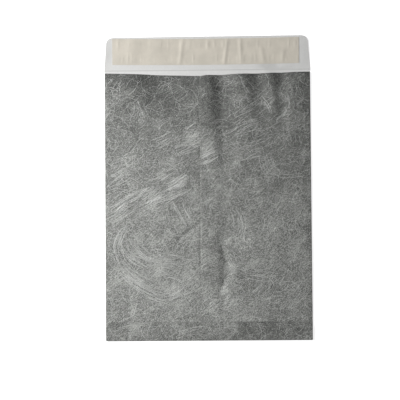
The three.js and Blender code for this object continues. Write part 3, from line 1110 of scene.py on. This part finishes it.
@dataclass
class FibreStrands:
    """The long pale fibres that show on the grey face, laid on the flat sheet and folded with it."""

    strand_width: float = 0.32
    strand_height: float = 0.1
    strand_sides: int = 3
    stations: int = 12
    least_stations: int = 4
    cover_range: tuple[float, float] = (0.6, 1.4)
    slant: float = 0.25
    wander: float = 7.0
    wander_pitch: float = 32.0
    wander_levels: float = 4.0
    strays: int = 3000
    stray_stations: int = 7
    stray_width: float = 0.75
    stray_radius: float = 16.0
    stray_sweep: float = 70.0
    stray_sizes: tuple[float, float] = (0.25, 1.4)
    stray_low: tuple[float, float] = (-275.0, -25.0)
    stray_high: tuple[float, float] = (275.0, 332.0)
    seed: int = 5
    bundles: tuple[Bundle, ...] = (
        Bundle(Panel.LEFT, ((-121, 160), (-102, 171), (-84, 181)), 12, 4.3, 0.6, 1.15),
        Bundle(Panel.LEFT, ((-118, 154), (-107, 163), (-95, 173)), 9, 4.3, 0.6, 1.15),
        Bundle(Panel.LEFT, ((-126, 146), (-113, 152), (-97, 160)), 7, 4.3, 0.6, 1.15),
        Bundle(Panel.LEFT, ((-87, 178), (-80, 183), (-71, 188)), 9, 2.9, 0.6),
        Bundle(Panel.LEFT, ((-66, 196), (-58, 200), (-49, 204)), 9, 2.9, 0.6),
        Bundle(Panel.LEFT, ((-78, 168), (-67, 177), (-55, 186)), 15, 7.2, 0.6, 1.25),
        Bundle(Panel.LEFT, ((-76, 166), (-52, 175), (-26, 186)), 12, 3.6, 0.4),
        Bundle(Panel.LEFT, ((-53, 186), (-38, 194), (-23, 203)), 26, 6.5, 0.6, 1.25),
        Bundle(Panel.LEFT, ((-126, 150), (-76, 176), (-24, 200)), 44, 17.4, 0.2),
        Bundle(Panel.LEFT, ((-126, 191), (-110, 197), (-94, 206)), 16, 10, 0.4),
        Bundle(Panel.LEFT, ((-72, 246), (-58, 250), (-44, 257)), 12, 5.8, 0.5),
        Bundle(Panel.LEFT, ((-64, 236), (-55, 241), (-45, 246)), 8, 3.6, 0.6),
        Bundle(Panel.LEFT, ((-42, 230), (-28, 236), (-11, 243)), 20, 6.5, 0.5),
        Bundle(Panel.LEFT, ((-24, 248), (-17, 252), (-9, 256)), 22, 14, 0.6),
        Bundle(Panel.LEFT, ((-118, 205), (-95, 216), (-70, 229)), 12, 20.3, 0.3),
        Bundle(Panel.LEFT, ((-97, 141), (-107, 133), (-112, 116), (-109, 97)), 12, 6, 0.6, 1.15),
        Bundle(Panel.LEFT, ((-112, 110), (-108, 93), (-92, 75), (-66, 59), (-42, 52)), 26, 10, 0.4, 1.15),
        Bundle(Panel.LEFT, ((-103, 128), (-102, 116), (-94, 103), (-72, 90)), 14, 7.5, 0.5, 1.15),
        Bundle(Panel.LEFT, ((-96, 132), (-88, 116), (-76, 105), (-60, 100), (-25, 95)), 20, 8.5, 0.45, 1.1),
        Bundle(Panel.LEFT, ((-66, 96), (-46, 91), (-24, 84)), 24, 14, 0.35, 1.05),
        Bundle(Panel.LEFT, ((-104, 88), (-88, 75), (-64, 64)), 14, 7, 0.45, 1.1),
        Bundle(Panel.LEFT, ((-76, 59), (-60, 55), (-38, 58)), 16, 8, 0.45, 1.05),
        Bundle(Panel.LEFT, ((-50, 50), (-34, 58), (-14, 71)), 18, 12.5, 0.45, 1.05),
        Bundle(Panel.LEFT, ((-41, 170), (-36, 156), (-27, 141)), 3, 1.4, 0.9),
        Bundle(Panel.LEFT, ((-31, 170), (-27, 158), (-22, 147), (-26, 140)), 3, 1.4, 0.9),
        Bundle(Panel.LEFT, ((-49, 139), (-43, 130), (-31, 129)), 3, 2.2, 0.8),
        Bundle(Panel.LEFT, ((-90, 298), (-86, 284), (-78, 268)), 7, 5, 0.6, 0.6),
        Bundle(Panel.LEFT, ((-84, 296), (-79, 284), (-73, 269)), 5, 4, 0.6, 0.6),
        Bundle(Panel.LEFT, ((-62, 302), (-48, 311), (-47, 326)), 3, 2.2, 0.8, 0.7),
        Bundle(Panel.LEFT, ((-114, 328), (-112, 320), (-118, 312), (-115, 300)), 9, 7, 0.4, 0.85),
        Bundle(Panel.LEFT, ((-112, 24), (-95, 31), (-91, 46)), 4, 2.2, 0.8),
        Bundle(Panel.RIGHT, ((-8, 221), (0, 225), (11, 231)), 14, 5.8, 0.7, 1.5),
        Bundle(Panel.RIGHT, ((-8, 233), (-1, 237), (7, 243)), 7, 4.3, 0.7, 1.5),
        Bundle(Panel.RIGHT, ((-8, 215), (0, 219), (9, 224)), 6, 3.6, 0.7, 1.5),
        Bundle(Panel.RIGHT, ((22, 232), (50, 246), (80, 260)), 26, 23.2, 0.3),
        Bundle(Panel.RIGHT, ((30, 262), (56, 275), (84, 294)), 18, 17.4, 0.3),
        Bundle(Panel.RIGHT, ((84, 262), (94, 268), (112, 274)), 6, 8.7, 0.5),
        Bundle(Panel.RIGHT, ((72, 236), (74, 222), (80, 210), (92, 202), (119, 203)), 6, 5.1, 0.5),
        Bundle(Panel.RIGHT, ((66, 226), (71, 212), (80, 201)), 4, 4.3, 0.7),
        Bundle(Panel.RIGHT, ((68, 298), (74, 290), (79, 280)), 5, 2.2, 0.8),
        Bundle(Panel.RIGHT, ((48, 299), (56, 291), (72, 291)), 4, 2.2, 0.8, 0.9),
        Bundle(Panel.RIGHT, ((41, 324), (44, 314), (52, 303)), 3, 2.2, 0.8, 0.9),
        Bundle(Panel.RIGHT, ((100, 306), (102, 290), (94, 276), (78, 264)), 4, 2.2, 0.7, 0.65),
        Bundle(Panel.RIGHT, ((34, 164), (39, 144), (37, 122), (46, 107)), 9, 8.7, 0.5),
        Bundle(Panel.RIGHT, ((22, 108), (32, 92), (48, 80)), 9, 13, 0.4),
        Bundle(Panel.RIGHT, ((30, 88), (50, 81), (68, 79), (86, 83)), 14, 7, 0.35, 1.15),
        Bundle(Panel.RIGHT, ((54, 56), (60, 61), (67, 68)), 8, 4.3, 0.7),
        Bundle(Panel.RIGHT, ((16, 40), (24, 50), (28, 62)), 9, 11.6, 0.5),
        Bundle(Panel.RIGHT, ((-8, 36), (0, 43), (10, 54)), 9, 8.7, 0.6),
        Bundle(Panel.RIGHT, ((80, 44), (92, 58), (108, 78)), 14, 20.3, 0.3),
        Bundle(Panel.BOTTOM, ((-118, 10), (-90, 17), (-60, 21)), 8, 5.8, 0.4),
        Bundle(Panel.BOTTOM, ((-40, 8), (-15, 13), (4, 16)), 8, 4.3, 0.5),
        Bundle(Panel.BOTTOM, ((4, 13), (20, 18), (36, 17)), 7, 2.9, 0.6),
    )

    def guides(self) -> Piece:
        """Makes the guides as polylines on the flat sheet.

        Returns:
            An object whose mesh holds the guides, with each bundle's values as attributes of its points.
        """
        points, edges, owners = [], [], []
        for bundle in self.bundles:
            for step, (x, y) in enumerate(bundle.guide):
                if step:
                    edges.append((len(points) - 1, len(points)))
                points.append((*np.multiply(bundle.panel.unfold(x, y), MM), 0.0))
                owners.append(bundle)
        mesh = bpy.data.meshes.new("fibre_strands")
        mesh.from_pydata(points, edges, [])
        stored = {
            "strands": ("INT", [bundle.strands for bundle in owners]),
            "spread": ("FLOAT", [bundle.spread * MM for bundle in owners]),
            "cover": ("FLOAT", [bundle.cover for bundle in owners]),
            "width": ("FLOAT", [bundle.width for bundle in owners]),
        }
        for name, (kind, values) in stored.items():
            mesh.attributes.new(name, kind, "POINT").data.foreach_set("value", values)
        return new_object("fibre_strands", mesh)

    @staticmethod
    def chance(sketch: NodeSketch, low: float, high: float, draw: Draw) -> Socket:
        """A random number that is the same along one strand."""
        feeds = {2: low, 3: high, "Seed": draw}
        number = sketch.add("FunctionNodeRandomValue", feeds, data_type="FLOAT").outputs[1]
        return sketch.output("GeometryNodeFieldOnDomain", {0: number}, domain="CURVE", data_type="FLOAT")

    def lay_bundles(self, sketch: NodeSketch, given: bpy.types.NodeOutputs) -> Socket:
        """Copies each guide into a bundle of strands with their own ends and offsets.

        Args:
            sketch: the strand tree's nodes.
            given: the tree's inputs.

        Returns:
            The bundles, as curves on the flat sheet.
        """
        guide = sketch.output("GeometryNodeMeshToCurve", {0: given["Guides"]})
        smooth = sketch.output("GeometryNodeCurveSplineType", {0: guide}, spline_type="CATMULL_ROM")
        feeds = {0: smooth, 2: sketch.stored("strands", "INT")}
        copies = sketch.output("GeometryNodeDuplicateElements", feeds, domain="SPLINE")
        drawn = self.chance(sketch, *self.cover_range, Draw.COVER)
        share = sketch.math("MINIMUM", sketch.math("MULTIPLY", sketch.stored("cover"), drawn), 1.0)
        rest = sketch.math("SUBTRACT", 1.0, share)
        first = sketch.math("MULTIPLY", self.chance(sketch, 0.0, 1.0, Draw.START), rest)
        feeds = {0: copies, 2: first, 3: sketch.math("ADD", first, share)}
        cut = sketch.output("GeometryNodeTrimCurve", feeds, mode="FACTOR")
        feeds = {0: cut, "Count": given["Stations"]}
        even = sketch.output("GeometryNodeResampleCurve", feeds, mode="COUNT")
        along = sketch.add("GeometryNodeSplineParameter").outputs["Factor"]
        slant = sketch.math("MULTIPLY", along, self.chance(sketch, -self.slant, self.slant, Draw.SLANT))
        side = sketch.math("ADD", self.chance(sketch, -1.0, 1.0, Draw.SIDE), slant)
        tangent = sketch.output("GeometryNodeInputTangent")
        across = sketch.vector("CROSS_PRODUCT", tangent, (0.0, 0.0, 1.0))
        push = sketch.scale(across, sketch.math("MULTIPLY", side, sketch.stored("spread")))
        laid = sketch.output("GeometryNodeSetPosition", {0: even, "Offset": push})
        return sketch.output("GeometryNodeSetCurveRadius", {0: laid, "Radius": sketch.stored("width")})

    def lay_strays(self, sketch: NodeSketch, given: bpy.types.NodeOutputs) -> Socket:
        """Scatters single curled strands over the flat sheet.

        Args:
            sketch: the strand tree's nodes.
            given: the tree's inputs.

        Returns:
            The strays, as curves on the flat sheet.
        """
        low, high = ((x * MM, y * MM, 0.0) for x, y in (self.stray_low, self.stray_high))
        feeds = {0: low, 1: high, "Seed": given["Seed"]}
        place = sketch.output("FunctionNodeRandomValue", feeds, data_type="FLOAT_VECTOR")
        points = sketch.output("GeometryNodePoints", {0: given["Strays"], 1: place})
        feeds = {
            "Resolution": given["Stray Stations"],
            "Radius": self.stray_radius * MM,
            "Sweep Angle": math.radians(self.stray_sweep),
        }
        arc = sketch.output("GeometryNodeCurveArc", feeds, mode="RADIUS")
        feeds = {0: (0.0, 0.0, 0.0), 1: (0.0, 0.0, math.tau), "Seed": Draw.TURN}
        turn = sketch.output("FunctionNodeRandomValue", feeds, data_type="FLOAT_VECTOR")
        feeds = {2: self.stray_sizes[0], 3: self.stray_sizes[1], "Seed": Draw.SIZE}
        size = sketch.add("FunctionNodeRandomValue", feeds, data_type="FLOAT").outputs[1]
        feeds = {"Points": points, "Instance": arc, "Rotation": turn, "Scale": size}
        instances = sketch.output("GeometryNodeInstanceOnPoints", feeds)
        single = sketch.output("GeometryNodeRealizeInstances", {0: instances})
        return sketch.output("GeometryNodeSetCurveRadius", {0: single, "Radius": given["Stray Width"]})

    def fold(self, sketch: NodeSketch, given: bpy.types.NodeOutputs, curves: Socket) -> Socket:
        """Moves strands from the flat sheet to the outer face of the folded one.

        Args:
            sketch: the strand tree's nodes.
            given: the tree's inputs.
            curves: strands on the flat sheet.

        Returns:
            The strands on the folded sheet, without those that ran off its edges.
        """
        sheet = sketch.add("GeometryNodeObjectInfo", {0: given["Sheet"]}).outputs["Geometry"]
        flat = sketch.stored(FLAT_MAP, "FLOAT_VECTOR")
        position = sketch.output("GeometryNodeInputPosition")
        normal = sketch.output("GeometryNodeInputNormal")

        def sample(field: Socket) -> bpy.types.NodeOutputs:
            """Reads a field of the folded sheet at the strand's place on the flat one."""
            feeds = {"Mesh": sheet, "Value": field, "Source UV Map": flat, "Sample UV": position}
            return sketch.add("GeometryNodeSampleUVSurface", feeds, data_type="FLOAT_VECTOR").outputs

        at, out = sample(position), sample(normal)
        off = sketch.output("FunctionNodeBooleanMath", {0: at["Is Valid"]}, operation="NOT")
        goal = sketch.vector("ADD", at[0], sketch.scale(out[0], given["Lift"]))
        kept = sketch.add("GeometryNodeCaptureAttribute", {0: curves}, domain="POINT")
        kept.capture_items.new("VECTOR", "goal")
        kept.capture_items.new("BOOLEAN", "off")
        sketch.tree.links.new(goal, kept.inputs["goal"])
        sketch.tree.links.new(off, kept.inputs["off"])
        feeds = {0: kept.outputs[0], "Position": kept.outputs["goal"]}
        moved = sketch.output("GeometryNodeSetPosition", feeds)
        feeds = {0: moved, 1: kept.outputs["off"]}
        inside = sketch.output("GeometryNodeDeleteGeometry", feeds, domain="POINT")
        left = sketch.add("GeometryNodeSplineLength").outputs["Point Count"]
        feeds = {2: left, 3: self.least_stations}
        short = sketch.output("FunctionNodeCompare", feeds, data_type="INT", operation="LESS_THAN")
        return sketch.output("GeometryNodeDeleteGeometry", {0: inside, 1: short}, domain="CURVE")

    def tree(self) -> bpy.types.NodeTree:
        """Builds the strand tree: bundles and strays, wandering, folded, given a section and a finish.

        Returns:
            The geometry node tree.
        """
        tree = bpy.data.node_groups.new("fibre_strands", "GeometryNodeTree")
        sockets = {
            "Guides": "Geometry", "Sheet": "Object", "Finish": "Material", "Stations": "Int",
            "Strays": "Int", "Stray Stations": "Int", "Seed": "Int", "Wander": "Float",
            "Wander Scale": "Float", "Lift": "Float", "Section": "Vector", "Stray Width": "Float",
        }
        for label, kind in sockets.items():
            tree.interface.new_socket(label, in_out="INPUT", socket_type=f"NodeSocket{kind}")
        tree.interface.new_socket("Strands", in_out="OUTPUT", socket_type="NodeSocketGeometry")
        sketch = NodeSketch(tree)
        given = sketch.add("NodeGroupInput").outputs
        join = sketch.add("GeometryNodeJoinGeometry")
        for part in (self.lay_strays(sketch, given), self.lay_bundles(sketch, given)):
            tree.links.new(part, join.inputs[0])
        drawn = self.chance(sketch, 0.0, self.wander_levels, Draw.LEVEL)
        level = sketch.output("ShaderNodeCombineXYZ", {2: drawn})
        position = sketch.output("GeometryNodeInputPosition")
        place = sketch.vector("ADD", sketch.scale(position, given["Wander Scale"]), level)
        drift = sketch.scale(sketch.drift(place, 1.0, detail=1.0), given["Wander"])
        feeds = {0: join.outputs[0], "Offset": sketch.vector("MULTIPLY", drift, (1.0, 1.0, 0.0))}
        wandered = sketch.output("GeometryNodeSetPosition", feeds)
        folded = self.fold(sketch, given, wandered)
        upright = sketch.output("GeometryNodeSetCurveNormal", {0: folded}, mode="Z_UP")
        feeds = {"Resolution": self.strand_sides, "Radius": 1.0}
        ring = sketch.output("GeometryNodeCurvePrimitiveCircle", feeds)
        section = sketch.output("GeometryNodeTransform", {0: ring, "Scale": given["Section"]})
        width = sketch.output("GeometryNodeInputRadius")
        feeds = {0: upright, "Profile Curve": section, "Scale": width, "Fill Caps": True}
        tubes = sketch.output("GeometryNodeCurveToMesh", feeds)
        plain = sketch.output("GeometryNodeRealizeInstances", {0: tubes})
        finished = sketch.output("GeometryNodeSetMaterial", {0: plain, "Material": given["Finish"]})
        sketch.add("NodeGroupOutput", {0: finished})
        return tree

    def build(self, sheet: Piece, thickness: float) -> Piece:
        """Args:
            sheet: the folded mid surface, with its flat coordinates.
            thickness: the sheet's thickness.

        Returns:
            The strands as one plain mesh.
        """
        piece = self.guides()
        modifier = piece.modifiers.new("fibre_strands", "NODES")
        modifier.node_group = self.tree()
        values = {
            "Sheet": sheet,
            "Finish": FIBRE.material(),
            "Stations": self.stations,
            "Strays": self.strays,
            "Stray Stations": self.stray_stations,
            "Stray Width": self.stray_width,
            "Seed": self.seed,
            "Wander": self.wander * MM,
            "Wander Scale": 1.0 / (self.wander_pitch * MM),
            "Lift": thickness * MM / 2.0,
            "Section": (self.strand_width * MM / 2.0, self.strand_height * MM / 2.0, 1.0),
        }
        for socket in modifier.node_group.interface.items_tree:
            if socket.name in values:
                modifier[socket.identifier] = values[socket.name]
        apply_modifier(piece, modifier)
        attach(piece, "root")
        return piece


@dataclass(frozen=True)
class Pucker:
    """One soft pucker across the release strip, from a share of its width to another."""

    x: float
    width: float
    height: float
    lean: float
    start: float = 0.0
    end: float = 1.0

    half_run: ClassVar[float] = 0.62
    fade_out: ClassVar[float] = 0.3

    def lift(self, x: np.ndarray, up: np.ndarray, across: np.ndarray) -> np.ndarray:
        """Lift of the strip at x, at a distance up from its lower edge and a share across it."""
        offset = (x - self.x - self.lean * up) / self.width
        middle = (self.start + self.end) / 2.0
        inside = self.half_run * (self.end - self.start) - np.abs(across - middle)
        return self.height * np.exp(-offset * offset) * ease(inside / self.fade_out)


@dataclass
class ReleaseStrip:
    """The beige paper strip laid over the adhesive, with the puckers it has from winding."""

    flap: FoldedSheet
    left: float = -117.4
    right: float = 113.5
    low: float = 341.0
    high: float = 373.3
    sag: float = 1.0
    sheet: float = 0.1
    gap: float = 0.05
    adhesive: float = 0.08
    pitch: float = 0.6
    puckers: tuple[Pucker, ...] = (
        Pucker(-95.0, 9.0, 0.35, 0.1),
        Pucker(-60.0, 10.0, 0.35, -0.1),
        Pucker(-34.0, 2.6, 0.35, 0.13),
        Pucker(21.0, 2.4, 0.4, 0.13),
        Pucker(42.0, 2.4, 0.4, -0.03),
        Pucker(70.0, 3.0, 0.35, -0.15, end=0.7),
        Pucker(92.0, 3.0, 0.35, 0.15, end=0.6),
    )
    pleats: int = 54
    pleat_margin: float = 4.0
    pleat_shift: float = 3.0
    pleat_widths: tuple[float, float] = (0.9, 2.0)
    pleat_heights: tuple[float, float] = (0.04, 0.2)
    pleat_lean: float = 0.1
    upper_share: float = 0.6
    upper_start: float = 0.55
    lower_ends: tuple[float, float] = (0.3, 0.5)
    seed: int = 4

    def fine_pleats(self) -> list[Pucker]:
        """Short fine pleats along both long edges.

        Returns:
            The pleats, with fixed random places and sizes.
        """
        chance = np.random.default_rng(self.seed)
        first, last = self.left + self.pleat_margin, self.right - self.pleat_margin
        pleats = []
        for place in spread(first, last, (self.right - self.left) / self.pleats):
            x = place + chance.uniform(-self.pleat_shift, self.pleat_shift)
            width, height = chance.uniform(*self.pleat_widths), chance.uniform(*self.pleat_heights)
            upper = chance.random() < self.upper_share
            start, end = (self.upper_start, 1.0) if upper else (0.0, chance.uniform(*self.lower_ends))
            lean = chance.uniform(-self.pleat_lean, self.pleat_lean)
            pleats.append(Pucker(x, width, height, lean, start, end))
        return pleats

    def build(self) -> Piece:
        """Makes the strip's mid surface over the seal flap.

        Returns:
            The piece, still without thickness.
        """
        columns = spread(self.left, self.right, self.pitch)
        rows = spread(self.low, self.high, self.pitch)
        x, level = np.meshgrid(columns, rows, indexing="ij")
        share = (2.0 * x - self.left - self.right) / (self.right - self.left)
        y = level - self.sag * (1.0 - share * share)
        above = self.flap.sheet / 2.0 + 2.0 * self.gap + self.adhesive + self.sheet / 2.0
        z = self.flap.flap_height(x, y) + above
        across = (level - self.low) / (self.high - self.low)
        for pucker in (*self.puckers, *self.fine_pleats()):
            z = z + pucker.lift(x, level - self.low, across)
        points = np.stack([x, y, z], -1)
        return mesh_piece("release_paper_strip", points.reshape(-1, 3), quads(*numbered(points)))

    def dress(self, piece: Piece) -> Piece:
        """Args:
            piece: the strip's mid surface.

        Returns:
            The finished piece.
        """
        face = STRIP_FACE.material()
        thicken(piece, self.sheet, [face, face, STRIP_EDGE.material()])
        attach(piece, "root")
        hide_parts("release_strip")
        return piece


class AdhesiveBand:
    """The tacky band on the seal flap, whose CAD solid is kept."""

    def dress(self) -> Piece:
        """Gives the CAD node its finish.

        Returns:
            The node.
        """
        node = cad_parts["adhesive_strip"]
        if not node.material_slots:
            node.data.materials.append(None)
        finish = AdhesiveFinish().material()
        for slot in node.material_slots:
            slot.material = finish
        return node


class Lamp(Enum):
    """The studio's lamps: place, size and power, in metres and watts."""

    KEY = ((-1.25, 0.26, 0.70), 0.36, 28.5)
    FILL = ((0.1, -0.3, 1.6), 1.4, 2.4)


@dataclass
class Studio:
    """White floor, soft lamps and the camera that looks down on the envelope, in metres and degrees."""

    lens: float = 80.0
    sensor: float = 36.0
    camera_place: tuple[float, float, float] = (0.0051, -0.0447, 1.0953)
    camera_tilt: tuple[float, float, float] = (1.54, 0.806, -0.443)
    floor_size: float = 12.0
    floor_drop: float = 0.0003
    floor_paint: float = 0.8
    floor_glow: float = 0.74
    sky: float = 0.12

    def floor(self) -> None:
        """Makes the floor, white to the camera and still darkened by the envelope's shadow."""
        bpy.ops.mesh.primitive_plane_add(size=self.floor_size, location=(0.0, 0.0, -self.floor_drop))
        floor = bpy.context.object
        floor.name = "studio_floor"
        material, sketch = new_material("studio_white")
        sketch.tree.nodes.clear()
        paint = sketch.output("ShaderNodeBsdfDiffuse", {"Color": (*[self.floor_paint] * 3, 1.0)})
        glow = sketch.math("MULTIPLY", sketch.seen(), self.floor_glow)
        light = sketch.output("ShaderNodeEmission", {"Strength": glow})
        both = sketch.output("ShaderNodeAddShader", {0: paint, 1: light})
        sketch.add("ShaderNodeOutputMaterial", {"Surface": both})
        floor.data.materials.append(material)

    def world(self) -> None:
        """Makes an even white surround that fills the shadows."""
        world = bpy.data.worlds.new("studio_surround")
        bpy.context.scene.world = world
        world.use_nodes = True
        sketch = NodeSketch(world.node_tree)
        sketch.tree.nodes.clear()
        strength = sketch.math("MAXIMUM", sketch.seen(), self.sky)
        feeds = {"Color": (1.0, 1.0, 1.0, 1.0), "Strength": strength}
        back = sketch.output("ShaderNodeBackground", feeds)
        sketch.add("ShaderNodeOutputWorld", {"Surface": back})

    def lamps(self) -> None:
        """Hangs the lamps, each a square panel aimed at the envelope."""
        for lamp in Lamp:
            place, size, power = lamp.value
            data = bpy.data.lights.new(lamp.name.lower(), "AREA")
            data.shape = "SQUARE"
            data.size = size
            data.energy = power
            light = new_object(lamp.name.lower(), data)
            light.location = place
            light.rotation_euler = (-Vector(place)).to_track_quat("-Z", "Y").to_euler()

    def camera(self) -> None:
        """Places the camera over the envelope, as in the photograph."""
        data = bpy.data.cameras.new("photograph_view")
        data.lens = self.lens
        data.sensor_width = self.sensor
        camera = new_object("photograph_view", data)
        camera.location = self.camera_place
        camera.rotation_euler = tuple(math.radians(turn) for turn in self.camera_tilt)
        bpy.context.scene.camera = camera

    def build(self) -> None:
        """Sets up the camera, floor, surround, lamps and plain colour handling."""
        self.camera()
        self.floor()
        self.world()
        self.lamps()
        bpy.context.scene.view_settings.view_transform = "Standard"


def main() -> None:
    """Builds the envelope, its strips and the studio, and reports each piece."""
    logging.basicConfig(level=logging.INFO, format="%(name)s: %(message)s")
    Studio().build()
    sheet = FoldedSheet()
    strip = ReleaseStrip(sheet)
    folded = sheet.build()
    fibres = FibreStrands().build(folded, sheet.sheet)
    for piece in (sheet.dress(folded), fibres, strip.dress(strip.build()), AdhesiveBand().dress()):
        LOG.info("%s: %d faces", piece.name, len(piece.data.polygons))


if __name__ == "__main__":
    main()
